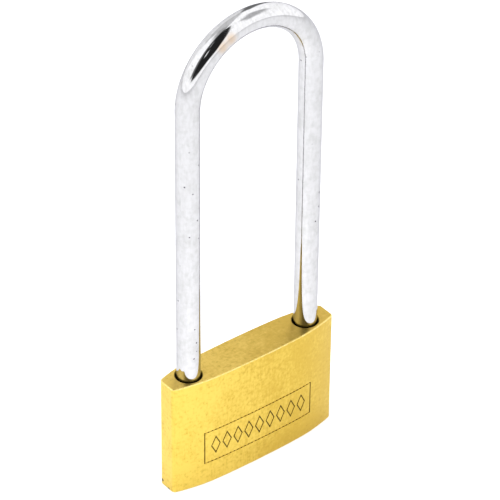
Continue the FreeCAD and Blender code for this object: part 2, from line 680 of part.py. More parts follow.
def make_pin(doc, label, length):
    """A pin along its own +Z from its base, bevelled at both ends."""
    body = new_body(doc, label)
    outline = sketch_on(body, "outline", "XZ_Plane")
    radius = "Sizes.pin_diameter / 2"
    bevel = "Sizes.pin_tip_bevel"
    add_polygon(outline, [
        ("0", "0"),
        (f"{radius} - {bevel}", "0"),
        (radius, bevel),
        (radius, f"{length} - {bevel}"),
        (f"{radius} - {bevel}", length),
        ("0", length),
    ])
    turned = body.newObject("PartDesign::Revolution", f"{label}_turned")
    turned.Profile = outline
    turned.ReferenceAxis = (outline, ["V_Axis"])
    turned.Angle = 360
    return body


def make_spring(doc, label, width, wire, turns, room):
    """A coil spring along its own +Z that fills a room, less a gap at each end."""
    body = new_body(doc, label)
    section = sketch_on(body, "section", "XZ_Plane")
    add_circle(section, wire, x=f"(({width}) - {wire}) / 2", y=f"{wire} / 2 + Sizes.seat_gap")
    coil = body.newObject("PartDesign::AdditiveHelix", f"{label}_coil")
    coil.Profile = section
    coil.ReferenceAxis = (section, ["V_Axis"])
    coil.Mode = "height-turns-angle"
    bind(coil, Height=f"({room}) - {wire} - 2 * Sizes.seat_gap", Turns=turns)
    return body


def make_pin_stacks(doc):
    """Key pin, driver pin, spring and chamber plug at each level, lowest first."""
    pieces = []
    to_toe = Rotation(Vector(0, 1, 0), 90)
    to_back = Rotation(Vector(1, 0, 0), -90)
    spring_base = f"{SHEAR_LINE} + Sizes.driver_length"
    for index, step in enumerate(KEY_PIN_STEPS):
        level = f"Sizes.first_pin_level + {index} * Sizes.pin_pitch"
        length = f"(Sizes.key_pin_base + {step})"
        key_pin = make_pin(doc, f"key_pin_{index + 1}", length)
        inner_end = f"{PLUG_RADIUS} - Sizes.key_pin_setback - {length}"
        place(key_pin, "Sizes.plug_offset", inner_end, level, to_back)
        driver = make_pin(doc, f"driver_pin_{index + 1}", "Sizes.driver_length")
        place(driver, SHEAR_LINE, "0", level, to_toe)
        spring = make_spring(
            doc,
            f"pin_spring_{index + 1}",
            "Sizes.pin_diameter - Sizes.pin_spring_margin",
            "Sizes.pin_spring_wire",
            "Sizes.pin_spring_turns",
            f"{CHAMBER_STOP} - ({spring_base})",
        )
        place(spring, spring_base, "0", level, to_toe)
        plug = doc.addObject("Part::Cylinder", f"chamber_plug_{index + 1}")
        bind(plug, Radius=PIN_BORE_RADIUS, Height="Sizes.chamber_plug_length")
        place(plug, CHAMBER_STOP, "0", level, to_toe)
        pieces += [key_pin, driver, spring, plug]
    return pieces


def make_latch_spring(doc):
    """The spring that pushes the bolt towards the toe."""
    spring = make_spring(
        doc,
        "latch_spring",
        "Sizes.latch_diameter - Sizes.latch_spring_margin",
        "Sizes.latch_spring_wire",
        "Sizes.latch_spring_turns",
        "Sizes.latch_spring_room",
    )
    place(spring, LATCH_BORE_END, "0", LATCH_LEVEL, Rotation(Vector(0, 1, 0), 90))
    return spring


def make_shackle_spring(doc):
    """The spring that lifts the opened shackle."""
    spring = make_spring(
        doc,
        "shackle_spring",
        "Sizes.rod_diameter - Sizes.shackle_spring_margin",
        "Sizes.shackle_spring_wire",
        "Sizes.shackle_spring_turns",
        "Sizes.shackle_spring_room",
    )
    place(spring, HEEL_X, "0", f"{HEEL_FOOT} - Sizes.shackle_spring_room")
    return spring


def check(doc):
    """Stop if anything in the document has failed."""
    for item in doc.Objects:
        if {"Invalid", "Error"} & set(item.State):
            raise ValueError(f"{item.Name} failed: {item.State}")


def write(pieces):
    """Write each piece's shape to a file named after its label."""
    os.makedirs("parts", exist_ok=True)
    for piece in pieces:
        shape = piece.Shape
        if shape.isNull() or not shape.isValid() or not shape.Solids:
            raise ValueError(f"{piece.Label} has no valid solid")
        if len(shape.Solids) != 1:
            raise ValueError(f"{piece.Label} is {len(shape.Solids)} solids")
        shape.exportStep(f"parts/{piece.Label}.step")
        print(f"{piece.Label}: {shape.Volume:.2f} mm3")


def main():
    """Build the document, check it and write one file for each piece."""
    doc = FreeCAD.newDocument("padlock")
    make_sheet(doc)
    blank = make_blank(doc, "blank")
    pieces = [
        make_lock_body(doc),
        make_shackle(doc),
        make_key_plug(doc),
        make_cam(doc),
        make_latch_bolt(doc),
        make_latch_spring(doc),
        make_shackle_spring(doc),
        make_bolt_bore_plug(doc, blank),
        make_retaining_pin(
            doc, "heel_retaining_pin", blank, "Sizes.heel_pin_diameter",
            HEEL_PIN_X, HEEL_PIN_LEVEL, "Sizes.heel_pin_reach",
        ),
        make_retaining_pin(
            doc, "plug_retaining_pin", blank, "Sizes.plug_pin_diameter",
            PLUG_PIN_X, PLUG_GROOVE_LEVEL, "Sizes.plug_pin_reach",
        ),
    ]
    pieces += make_pin_stacks(doc)
    doc.recompute()
    check(doc)
    write(pieces)


main()
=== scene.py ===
"""Dresses a long-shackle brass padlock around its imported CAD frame.

The body, the shackle and the springs are rebuilt as smooth meshes exactly where the CAD has them.
Every other CAD node stays and gets a finish of its own. Sizes in the dataclasses are millimetres;
meshes are written in metres, in the CAD's frame: X along the width, Y to the back, Z up.
"""

from __future__ import annotations

import json
import logging
import math
from collections.abc import Callable, Iterable, Sequence
from dataclasses import dataclass, field
from enum import Enum

import bmesh
import bpy
import numpy as np
from mathutils import Matrix, Vector
from mathutils.geometry import delaunay_2d_cdt

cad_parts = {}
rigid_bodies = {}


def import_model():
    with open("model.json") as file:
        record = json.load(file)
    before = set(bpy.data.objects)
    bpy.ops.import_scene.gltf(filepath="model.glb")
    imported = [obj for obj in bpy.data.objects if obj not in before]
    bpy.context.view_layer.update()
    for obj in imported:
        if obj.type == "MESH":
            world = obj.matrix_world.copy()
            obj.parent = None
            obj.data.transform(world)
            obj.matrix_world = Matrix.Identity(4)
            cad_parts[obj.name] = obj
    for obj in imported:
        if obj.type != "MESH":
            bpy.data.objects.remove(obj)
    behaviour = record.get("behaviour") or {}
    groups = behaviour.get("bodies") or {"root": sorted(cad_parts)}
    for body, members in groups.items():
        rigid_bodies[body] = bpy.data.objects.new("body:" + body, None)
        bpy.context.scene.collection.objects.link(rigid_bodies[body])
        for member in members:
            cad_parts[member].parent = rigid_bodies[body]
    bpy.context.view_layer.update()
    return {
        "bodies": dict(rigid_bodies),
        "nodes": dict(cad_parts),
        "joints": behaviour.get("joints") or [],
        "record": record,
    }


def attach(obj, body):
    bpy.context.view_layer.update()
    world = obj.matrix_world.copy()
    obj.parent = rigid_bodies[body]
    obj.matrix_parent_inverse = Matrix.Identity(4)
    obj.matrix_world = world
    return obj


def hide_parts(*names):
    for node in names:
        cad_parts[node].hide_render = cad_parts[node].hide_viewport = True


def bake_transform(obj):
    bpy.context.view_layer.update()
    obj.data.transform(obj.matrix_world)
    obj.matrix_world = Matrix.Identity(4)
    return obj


LOG = logging.getLogger("padlock")
MM = 0.001
LEG_X = 18.2
BOLT_LEVEL = 26.2
PIN_LEVELS = (2.8, 6.0, 9.2, 12.4, 15.6)
Colour = tuple[float, float, float]
Array = np.ndarray
Place = Sequence[float]
Outline = tuple[Array, float]
Normals = list[tuple[Array, Array]]
Item = bpy.types.Object
Socket = bpy.types.NodeSocket
Material = bpy.types.Material
Finishes = dict[str, Material]
KINDS = {int: "NodeSocketInt", float: "NodeSocketFloat"}


class Axis(Enum):
    """Direction that a bore, a spring or a grain runs along."""

    WIDTH = 0
    DEPTH = 1
    HEIGHT = 2

    def frame(self) -> Array:
        """Rows: two cross directions and the direction itself, right-handed."""
        return np.roll(np.eye(3), -(self.value + 1), axis=0)


class Grain(Enum):
    """How a surface was worked: the stretch of its marks along X, Y and Z, per metre."""

    DRAWN = (5200.0, 5200.0, 330.0)
    MILLED = (620.0, 5600.0, 5600.0)
    BORED = (2600.0, 2600.0, 7000.0)
    POLISHED = (1500.0, 1500.0, 420.0)
    TURNED = (5000.0, 5000.0, 9000.0)


# ---- mesh tools


def link(name: str, data: bpy.types.ID) -> Item:
    """Puts a mesh, curve, lamp or camera in the scene as an object at the origin."""
    item = bpy.data.objects.new(name, data)
    bpy.context.scene.collection.objects.link(item)
    return item


def fetch(parts: bpy.types.bpy_prop_collection, key: str, width: int = 3) -> Array:
    """Reads a property of a mesh's parts.

    Args:
        parts: The vertices, faces or corners.
        key: The property; with width 1 it is a whole number.
        width: Numbers in each part's property.

    Returns:
        One row for each part, or one number when the width is 1.
    """
    found = np.zeros(len(parts) * width, np.int32 if width == 1 else float)
    parts.foreach_get(key, found)
    return found if width == 1 else found.reshape(-1, width)


def unit(rows: Array) -> Array:
    """Scales each row to the length one."""
    return rows / np.maximum(np.linalg.norm(rows, axis=1), 1e-9)[:, None]


def weld(mesh: bpy.types.Mesh, gap: float = 1e-7) -> None:
    """Merges a mesh's doubled points and turns its faces outwards.

    Args:
        mesh: The mesh to close, in metres.
        gap: Points nearer than this become one, in metres.
    """
    work = bmesh.new()
    work.from_mesh(mesh)
    bmesh.ops.remove_doubles(work, verts=work.verts, dist=gap)
    bmesh.ops.recalc_face_normals(work, faces=work.faces)
    work.to_mesh(mesh)
    work.free()


class Patchwork:
    """Collects patches of points and faces, in millimetres, for one closed mesh."""

    def __init__(self) -> None:
        """Starts with nothing."""
        self.points: list[Place] = []
        self.faces: list[list[int]] = []

    def add(self, points: Iterable[Place], faces: Iterable[Sequence[int]]) -> None:
        """Adds a patch.

        Args:
            points: Corner positions of the patch.
            faces: Faces as indices into those points.
        """
        start = len(self.points)
        self.points.extend(points)
        self.faces.extend([start + i for i in face] for face in faces)

    def add_bands(self, rings: Sequence[Array], skip: Iterable[int] = ()) -> None:
        """Adds quads between successive closed rings of equal length.

        Args:
            rings: Rings of points, each an array of shape (n, 3).
            skip: Segments of the rings that get no quad.
        """
        n, left_out = len(rings[0]), set(skip)
        faces = [
            (r * n + i, r * n + (i + 1) % n, (r + 1) * n + (i + 1) % n, (r + 1) * n + i)
            for r in range(len(rings) - 1)
            for i in range(n)
            if i not in left_out
        ]
        self.add(np.concatenate(rings), faces)

    def build(self, name: str) -> Item:
        """Makes the object, welded, with its faces outwards."""
        mesh = bpy.data.meshes.new(name)
        mesh.from_pydata([tuple(float(c) * MM for c in p) for p in self.points], [], self.faces)
        weld(mesh)
        return link(name, mesh)


@dataclass(frozen=True)
class Bore:
    """A round cutter turned about an axis.

    Attributes:
        centre: A point of the axis, as (X, Y, Z).
        axis: The way the axis runs.
        profile: Pairs of place along the axis and radius there, in rising order.
        facets: Number of sides.
    """

    centre: tuple[float, float, float]
    axis: Axis
    profile: tuple[tuple[float, float], ...]
    facets: int = 64

    def rings(self) -> list[Array]:
        """The ring of points at each step of the profile."""
        across, up, along = self.axis.frame()
        base = np.array(self.centre) * (1 - along)
        turn = np.linspace(0, 2 * math.pi, self.facets, endpoint=False)[:, None]
        circle = np.cos(turn) * across + np.sin(turn) * up
        return [base + along * place + circle * radius for place, radius in self.profile]

    def build(self) -> Item:
        """The cutter as a closed object."""
        work, rings = Patchwork(), self.rings()
        work.add_bands(rings)
        work.add(rings[0], [list(range(self.facets))[::-1]])
        work.add(rings[-1], [list(range(self.facets))])
        return work.build("cutter")

    def inward(self, points: Array) -> tuple[Array, Array]:
        """Normals of the bored wall, towards the axis.

        Args:
            points: Positions, of shape (n, 3).

        Returns:
            The normals, and whether each point lies on this bore's wall.
        """
        along = self.axis.frame()[2]
        away = (points - np.array(self.centre)) * (1 - along)
        reach = np.linalg.norm(away, axis=1)
        place = points @ along
        near = np.zeros(len(points), bool)
        slack, thin = 0.01, 0.012
        for (low, r_low), (high, r_high) in zip(self.profile, self.profile[1:]):
            inside = (place > low - slack) & (place < high + slack)
            near |= inside & (np.abs(reach - min(r_low, r_high)) < thin)
        return -unit(away), near


def block(low: Place, high: Place) -> Item:
    """A square cutter between two corners, in millimetres."""
    work = Patchwork()
    corners = [[(low, high)[(i >> k) & 1][k] for k in range(3)] for i in range(8)]
    sides = [(0, 2, 3, 1), (4, 5, 7, 6), (0, 1, 5, 4), (2, 6, 7, 3), (0, 4, 6, 2), (1, 3, 7, 5)]
    work.add(corners, sides)
    return work.build("cutter")


def evaluated(item: Item) -> bpy.types.Mesh:
    """An object's mesh with its modifiers applied, as plain data."""
    graph = bpy.context.evaluated_depsgraph_get()
    return bpy.data.meshes.new_from_object(item.evaluated_get(graph))


def carve(item: Item, cutters: Sequence[Item]) -> None:
    """Cuts pieces out of an object and removes the cutters.

    Args:
        item: The object to cut.
        cutters: Closed objects, which may overlap each other.
    """
    for cutter in cutters:
        step = item.modifiers.new("cut", "BOOLEAN")
        step.operation, step.solver, step.object = "DIFFERENCE", "MANIFOLD", cutter
    mesh = evaluated(item)
    item.modifiers.clear()
    item.data = mesh
    for cutter in cutters:
        bpy.data.objects.remove(cutter)


def smooth_as_made(
    mesh: bpy.types.Mesh,
    surfaces: Callable[[Array], Normals],
    within: float = 17.0,
) -> None:
    """Gives each face corner the exact normal of the surface that the face lies on.

    Args:
        mesh: The mesh, in metres.
        surfaces: For positions in millimetres, the possible normals with a mask for each.
        within: Largest angle between a face and the surface it is taken to lie on, in degrees.
    """
    points = fetch(mesh.vertices, "co")[fetch(mesh.loops, "vertex_index", 1)] / MM
    totals = fetch(mesh.polygons, "loop_total", 1)
    flat = np.repeat(fetch(mesh.polygons, "normal"), totals, axis=0)
    best = flat.copy()
    score = np.full(len(flat), math.cos(math.radians(within)))
    for normals, mask in surfaces(points):
        match = np.einsum("ij,ij->i", normals, flat)
        take = mask & (match > score)
        best[take], score[take] = normals[take], match[take]
    mesh.polygons.foreach_set("use_smooth", np.ones(len(mesh.polygons), bool))
    mesh.normals_split_custom_set(best.tolist())
    mesh.update()


# ---- node tools


class Canvas:
    """Any node tree, built with short calls."""

    family = "ShaderNode"

    def __init__(self, tree: bpy.types.NodeTree) -> None:
        """Wraps a tree."""
        self.tree = tree

    def node(self, kind: str, inputs: dict | None = None, **settings: object) -> bpy.types.Node:
        """Adds a node.

        Args:
            kind: The node's type, without the name of its family.
            inputs: Input name or index to a value, or to the socket that feeds it.
            **settings: The node's own properties.

        Returns:
            The node.
        """
        full = kind if kind.startswith("ShaderNode") else self.family + kind
        made = self.tree.nodes.new(full)
        for key, value in settings.items():
            setattr(made, key, value)
        for key, value in (inputs or {}).items():
            self.feed(made.inputs[key], value)
        return made

    def put(self, kind: str, inputs: dict | None = None, **settings: object) -> Socket:
        """Adds a node as node() does and gives its first output."""
        return self.node(kind, inputs, **settings).outputs[0]

    def feed(self, socket: Socket, value: object) -> None:
        """Links a socket to another, or to each of a list, or sets its value or colour."""
        if isinstance(value, Socket):
            self.tree.links.new(value, socket)
        elif isinstance(value, list):
            for item in value:
                self.tree.links.new(item, socket)
        elif socket.type == "RGBA":
            socket.default_value = (*value, 1.0)
        else:
            socket.default_value = value

    def math(self, operation: str, *values: object) -> Socket:
        """One sum on numbers or sockets."""
        return self.put("ShaderNodeMath", dict(enumerate(values)), operation=operation)

    def fade(self, value: object, low: float, high: float, start: object = 0.0,
             end: object = 1.0) -> Socket:
        """Runs smoothly from start to end while a value goes from low to high."""
        return self.put("ShaderNodeMapRange", {
            "Value": value, "From Min": low, "From Max": high, "To Min": start, "To Max": end,
        }, interpolation_type="SMOOTHSTEP")


class Tree(Canvas):
    """A geometry node tree with named inputs."""

    family = "GeometryNode"

    def __init__(self, name: str, sizes: dict[str, int | float | Material]) -> None:
        """Starts a tree with one named input for each size.

        Args:
            name: The tree's name.
            sizes: Input name to its value.
        """
        super().__init__(bpy.data.node_groups.new(name, "GeometryNodeTree"))
        face = self.tree.interface
        face.new_socket("Geometry", in_out="INPUT", socket_type="NodeSocketGeometry")
        self.ids = {
            key: face.new_socket(
                key, in_out="INPUT", socket_type=KINDS.get(type(value), "NodeSocketMaterial")
            ).identifier
            for key, value in sizes.items()
        }
        face.new_socket("Geometry", in_out="OUTPUT", socket_type="NodeSocketGeometry")
        self.values = sizes
        self.start = self.tree.nodes.new("NodeGroupInput")
        self.end = self.tree.nodes.new("NodeGroupOutput")

    def size(self, key: str) -> Socket:
        """The output socket of a named input."""
        return self.start.outputs[key]

    def run(self, shape: Socket, host: Item) -> Item:
        """Ends the tree, runs it on an object and puts a plain mesh in that object's place.

        Args:
            shape: The socket with the finished geometry.
            host: The object that carries the modifier.

        Returns:
            The object with the mesh, under the same name.
        """
        real = self.put("RealizeInstances", {"Geometry": shape})
        dressed = self.put("SetMaterial", {"Geometry": real, "Material": self.size("Material")})
        self.feed(self.end.inputs[0], dressed)
        step = host.modifiers.new("shape", "NODES")
        step.node_group = self.tree
        for key, value in self.values.items():
            step[self.ids[key]] = value
        mesh, name = evaluated(host), host.name
        bpy.data.objects.remove(host)
        return link(name, mesh)


class Shader(Canvas):
    """A material with one Principled shader, on Object coordinates."""

    def __init__(self, name: str) -> None:
        """Starts the material."""
        self.material = bpy.data.materials.new(name)
        self.material.use_nodes = True
        super().__init__(self.material.node_tree)
        self.tree.nodes.clear()
        self.surface = self.node("BsdfPrincipled")
        self.node("OutputMaterial", {"Surface": self.surface.outputs[0]})
        self.place = self.node("TexCoord").outputs["Object"]

    def noise(self, scale: float | Place, detail: float = 2.0) -> Socket:
        """Noise from 0 to 1.

        Args:
            scale: Features per metre, the same all ways or one number for each axis.
            detail: Octaves.

        Returns:
            The noise's value.
        """
        where, size = self.place, scale
        if not isinstance(scale, float):
            where = self.put("Mapping", {"Vector": self.place, "Scale": tuple(scale)})
            size = 1.0
        return self.put("TexNoise", {"Vector": where, "Scale": size, "Detail": detail})

    def blend(self, share: object, first: object, second: object) -> Socket:
        """Mixes two colours; share 0 is the first."""
        made = self.node("Mix", data_type="RGBA")
        for index, value in ((0, share), (6, first), (7, second)):
            self.feed(made.inputs[index], value)
        return made.outputs[2]

    def axis(self, axis: Axis) -> Socket:
        """One coordinate of the place, in metres."""
        return self.node("SeparateXYZ", {0: self.place}).outputs[axis.value]

    def near(self, spot: Place, inner: float, outer: float) -> Socket:
        """One at a spot and nothing beyond it.

        Args:
            spot: The spot in millimetres.
            inner: Radius of the full effect, in millimetres.
            outer: Radius where it ends, in millimetres.

        Returns:
            The mask.
        """
        here = tuple(value * MM for value in spot)
        away = self.node("VectorMath", {0: self.place, 1: here}, operation="DISTANCE")
        return self.fade(away.outputs["Value"], inner * MM, outer * MM, 1.0, 0.0)

    def relief(self, height: object, depth: float) -> None:
        """Raises and lowers the surface by a height field of that depth in metres."""
        bump = self.put("Bump", {"Height": height, "Distance": depth, "Strength": 1.0})
        self.feed(self.surface.inputs["Normal"], bump)

    def set(self, **values: object) -> None:
        """Sets or links the Principled shader's inputs; an underscore stands for a space."""
        for key, value in values.items():
            self.feed(self.surface.inputs[key.replace("_", " ")], value)


# ---- finishes


# Features per metre of the noises that the finishes share.
MOTTLE, CLOUD, FLECKS, HAZE, PITS, PITTED_AREAS = 1250.0, 160.0, 900.0, 240.0, 380.0, 90.0
# Paler brass of the scuffed edges, which also paints a highlight on them.
RUBBED_HIGHLIGHT: Colour = (0.80, 0.66, 0.28)
# A warm tone that paints a reflection on the chrome.
WARM_REFLECTION: Colour = (0.50, 0.38, 0.27)
PIT: Colour = (0.12, 0.12, 0.13)
# Radii in millimetres where a spot begins to fade and where it ends: a nick's painted shade and a
# warm painted reflection on the chrome.
NICK_REACH, REFLECTION_REACH = (0.34, 0.55), (0.3, 2.2)
# Metres: the body's middle height, where the edges' wear and painted highlight begin and are full
# from there, and the places along the width between which a painted shade darkens the brass.
MIDDLE, EDGE_WEAR_AND_HIGHLIGHT, PAINTED_SHADE_SPAN = 0.0162, (0.0157, 0.0160), (-0.020, 0.018)


@dataclass(frozen=True)
class BrassFinish:
    """Brass as it was worked, with a painted shade that darkens it towards +X.

    Attributes:
        name: Material name.
        grain: The marks left by the tool.
        light: Clean metal.
        deep: Metal in the darker spots, and the tone that the painted shade pulls the brass towards
            at +X.
        grime_and_nick_shade: Colour of old oil and oxide, also used for the painted shade of each
            nick.
        dirt_share: How much of it lies everywhere.
        roughness: Middle roughness.
        marks: Depth of the marks in metres.
        rubbed_highlit_edges: Whether the upper and lower edges are scuffed to a paler brass and
            carry a painted highlight.
        skips: Pitch in millimetres at which a line was cut deeper and shallower; 0 is even.
        shaded_nicks: Places of small dents, shown only as spots of painted shade, in millimetres.
    """

    name: str
    grain: Grain
    light: Colour = (0.66, 0.485, 0.092)
    deep: Colour = (0.52, 0.355, 0.050)
    grime_and_nick_shade: Colour = (0.06, 0.033, 0.008)
    dirt_share: float = 0.0
    roughness: float = 0.36
    marks: float = 6e-6
    rubbed_highlit_edges: bool = False
    skips: float = 0.0
    shaded_nicks: tuple[tuple[float, float, float], ...] = ()

    def material(self) -> Material:
        """Builds the material."""
        s = Shader(self.name)
        lines = s.noise(self.grain.value, 3.0)
        mottle = s.noise(MOTTLE, 4.0)
        cloud = s.noise(CLOUD, 2.0)
        spots = s.math("ADD", s.math("MULTIPLY", mottle, 0.6), s.math("MULTIPLY", cloud, 0.4))
        # Painted shade: the brass is lighter towards -X and darker and deeper in tone towards +X,
        # standing in for how the light falls.
        painted_side_shade = s.fade(s.axis(Axis.WIDTH), *PAINTED_SHADE_SPAN, -0.12, 0.17)
        share = s.fade(s.math("ADD", s.math("MULTIPLY_ADD", lines, 0.4, spots), painted_side_shade), 0.48, 0.90)
        colour = s.blend(share, self.light, self.deep)
        rough = s.math("MULTIPLY_ADD", spots, 0.16, self.roughness - 0.08)
        # Scuffed edges: paler and smoother from wear, and the paler colour also paints the broken
        # highlight along them.
        if self.rubbed_highlit_edges:
            rubbed_highlight = self.rub_and_highlight(s, mottle)
            colour = s.blend(s.math("MULTIPLY", rubbed_highlight, 0.7), colour, RUBBED_HIGHLIGHT)
            rough = s.math("MULTIPLY", rough, s.math("MULTIPLY_ADD", rubbed_highlight, -0.3, 1.0))
        grime_and_nick_shade_share = s.fade(mottle, 0.55, 0.75, self.dirt_share, min(1.0, self.dirt_share + 0.12))
        if self.skips:
            wave = s.math("MULTIPLY", s.axis(Axis.WIDTH), 2 * math.pi / (self.skips * MM))
            deep = s.fade(s.math("COSINE", wave), -0.2, 0.9, 0.08, 1.0)
            grime_and_nick_shade_share = s.math("MULTIPLY", grime_and_nick_shade_share, deep)
        # Painted shade: each nick is a dark spot of the grime colour, with no dent in the mesh.
        for nick in self.shaded_nicks:
            grime_and_nick_shade_share = s.math("MAXIMUM", grime_and_nick_shade_share, s.near(nick, *NICK_REACH))
        s.set(Base_Color=s.blend(grime_and_nick_shade_share, colour, self.grime_and_nick_shade), Metallic=1.0, Roughness=rough)
        s.relief(s.math("MULTIPLY_ADD", mottle, 0.6, lines), self.marks)
        return s.material

    @staticmethod
    def rub_and_highlight(s: Shader, mottle: Socket) -> Socket:
        """Mask of the upper and lower rounded edges' scuffing and painted highlight, stronger here
        and weaker there.
        """
        level = s.axis(Axis.HEIGHT)
        middle = s.math("ABSOLUTE", s.math("SUBTRACT", level, MIDDLE))
        worn_and_highlit = s.fade(mottle, 0.38, 0.60, 0.35, 1.0)
        return s.math("MULTIPLY", s.fade(middle, *EDGE_WEAR_AND_HIGHLIGHT), worn_and_highlit)


@dataclass(frozen=True)
class PlatedFinish:
    """Bright plated or plain ground steel.

    Attributes:
        name: Material name.
        grain: The marks left by the tool.
        colour: The metal.
        shade: The metal where it is a little duller.
        rim: Tint at glancing angles.
        roughness: Lowest roughness.
        haze: What the dull spots add to it.
        pits: Share of tiny dull pits.
        marks: Depth of the marks in metres.
        warm_reflections: Spots of a faint warm painted reflection, in millimetres.
    """

    name: str
    grain: Grain
    colour: Colour = (0.55, 0.55, 0.565)
    shade: Colour = (0.45, 0.45, 0.455)
    rim: Colour = (0.66, 0.66, 0.69)
    roughness: float = 0.045
    haze: float = 0.07
    pits: float = 1.0
    marks: float = 6e-7
    warm_reflections: tuple[tuple[float, float, float], ...] = ()

    def material(self) -> Material:
        """Builds the material."""
        s = Shader(self.name)
        lines = s.noise(self.grain.value, 3.0)
        flecks = s.noise(FLECKS, 3.0)
        haze = s.noise(HAZE, 4.0)
        soft = s.fade(haze, 0.42, 0.66)
        tone = s.math("MULTIPLY_ADD", s.fade(flecks, 0.42, 0.64), 0.35, s.math(
            "MULTIPLY_ADD", s.fade(lines, 0.38, 0.68), 0.40, s.math("MULTIPLY", soft, 0.35)))
        speck = s.node("TexVoronoi", {"Vector": s.place, "Scale": PITS})
        pit = s.fade(speck.outputs["Distance"], 0.05, 0.12, self.pits, 0.0)
        pit = s.math("MULTIPLY", pit, s.fade(s.noise(PITTED_AREAS, 1.0), 0.44, 0.52))
        metal = s.blend(tone, self.colour, self.shade)
        # Painted reflection: warm spots near the top of the bend stand in for something warm
        # mirrored in the chrome.
        for reflection_spot in self.warm_reflections:
            warm = s.math("MULTIPLY", s.near(reflection_spot, *REFLECTION_REACH), 0.75)
            metal = s.blend(warm, metal, WARM_REFLECTION)
        s.set(
            Base_Color=s.blend(pit, metal, PIT),
            Metallic=1.0,
            Roughness=s.math("MULTIPLY_ADD", pit, 0.3, s.math(
                "MULTIPLY_ADD", soft, self.haze, self.roughness)),
            Specular_Tint=self.rim,
        )
        s.relief(s.math("MULTIPLY_ADD", pit, -4.0, lines), self.marks)
        return s.material


FINISHES: tuple[BrassFinish | PlatedFinish, ...] = (
    BrassFinish("brass_drawn", Grain.DRAWN, rubbed_highlit_edges=True,
                shaded_nicks=((-25.0, 1.9, 1.4), (-25.0, -0.7, 0.1))),
    BrassFinish("brass_milled", Grain.MILLED, light=(0.74, 0.53, 0.125),
                deep=(0.58, 0.395, 0.075), roughness=0.42, marks=8e-6),
    BrassFinish("brass_bored", Grain.BORED, dirt_share=0.45, roughness=0.42),
    BrassFinish("brass_scored", Grain.BORED, dirt_share=1.0, roughness=0.55, skips=1.11),
    BrassFinish("brass_engraved", Grain.BORED, dirt_share=0.86, roughness=0.55),
    BrassFinish("brass_plug_face", Grain.TURNED, light=(0.68, 0.50, 0.12), roughness=0.30),
    BrassFinish("brass_trim", Grain.TURNED, deep=(0.50, 0.34, 0.055), roughness=0.33),
    BrassFinish("brass_pins", Grain.TURNED, light=(0.72, 0.55, 0.17), roughness=0.26),
    PlatedFinish("chrome_plate", Grain.POLISHED,
                 warm_reflections=((-10.2, -2.9, 124.2), (-7.8, -2.9, 125.5))),
    PlatedFinish("ground_steel", Grain.MILLED, colour=(0.44, 0.44, 0.45),
                 shade=(0.33, 0.33, 0.35), roughness=0.24, haze=0.16, pits=0.4, marks=3e-6),
    PlatedFinish("spring_wire", Grain.TURNED, colour=(0.42, 0.42, 0.44),
                 shade=(0.27, 0.26, 0.27), roughness=0.22, haze=0.14, pits=0.3, marks=2e-6),
)


# ---- the body


@dataclass(frozen=True)
class Arc:
    """Part of the body's outline: a circle's centre, radius and first and last angle."""

    centre: tuple[float, float]
    radius: float
    start: float
    stop: float
    steps: int

    def points(self) -> tuple[Array, Array]:
        """Points along the arc, and the outward normals there."""
        turn = np.linspace(self.start, self.stop, self.steps + 1)
        normals = np.stack([np.cos(turn), np.sin(turn)], axis=1)
        return np.array(self.centre) + self.radius * normals, normals


@dataclass
class Engraving:
    """The engraved frame and the row of lozenges in it."""

    half_length: float = 16.8
    low: float = 6.4
    high: float = 16.2
    line: float = 0.3
    wall_run: float = 0.06
    depth: float = 0.16
    count: int = 9
    end_gap: float = 1.4
    gap: float = 0.5
    lozenge_height: float = 5.6

    def steps(self) -> list[tuple[float, float]]:
        """Inset from the line's outer edge, and the depth there."""
        run, line, depth = self.wall_run, self.line, self.depth
        return [(0.0, 0.0), (run, depth), (line - run, depth), (line, 0.0)]

    def frame_loops(self, spacing: float = 0.7) -> list[Outline]:
        """Closed outlines of the frame's line, finely divided, with their depths."""
        loops = []
        for inset, depth in self.steps():
            x, low, high = self.half_length - inset, self.low + inset, self.high - inset
            corners = [(-x, low), (x, low), (x, high), (-x, high)]
            loop = []
            for a, b in zip(corners, corners[1:] + corners[:1]):
                parts = max(2, round(math.dist(a, b) / spacing))
                share = np.arange(parts)[:, None] / parts
                loop.append(np.array(a) * (1 - share) + np.array(b) * share)
            loops.append((np.concatenate(loop), depth))
        return loops

    def lozenge_loops(self, material: Material) -> list[Outline]:
        """The lozenges' outlines, laid out by geometry nodes.

        Args:
            material: A material for the tree's last node.

        Returns:
            Closed outlines with their depths.
        """
        run = 2 * (self.half_length - self.line - self.end_gap)
        pitch = run / self.count
        wide, tall = (pitch - self.gap) / 2, self.lozenge_height / 2
        flank = wide * tall / math.hypot(wide, tall)
        tree = Tree("lozenge_row", {
            "Count": self.count,
            "Pitch": pitch,
            "Half Width": wide,
            "Half Height": tall,
            "First": (pitch - run) / 2,
            "Level": (self.low + self.high) / 2,
            "Material": material,
        })
        rings = []
        for inset, depth in self.steps():
            ring = tree.put("CurvePrimitiveCircle", {"Resolution": 4, "Radius": 1 - inset / flank})
            edges = tree.put("CurveToMesh", {"Curve": ring})
            rings.append(tree.put(
                "StoreNamedAttribute", {"Geometry": edges, "Name": "depth", "Value": depth},
                data_type="FLOAT", domain="POINT",
            ))
        places = tree.put("MeshLine", {
            "Count": tree.size("Count"),
            "Start Location": tree.put(
                "ShaderNodeCombineXYZ", {0: tree.size("First"), 1: tree.size("Level")}),
            "Offset": tree.put("ShaderNodeCombineXYZ", {0: tree.size("Pitch")}),
        })
        copies = tree.put("InstanceOnPoints", {
            "Points": places,
            "Instance": tree.put("JoinGeometry", {"Geometry": rings}),
            "Scale": tree.put("ShaderNodeCombineXYZ", {
                0: tree.size("Half Width"), 1: tree.size("Half Height"), 2: 1.0,
            }),
        })
        row = tree.run(copies, link("lozenge_row", bpy.data.meshes.new("lozenge_row")))
        loops = fetch(row.data.vertices, "co").reshape(-1, 4, 3)[:, :, :2]
        depths = [at.value for at in row.data.attributes["depth"].data][::4]
        bpy.data.objects.remove(row)
        return list(zip(loops, depths))


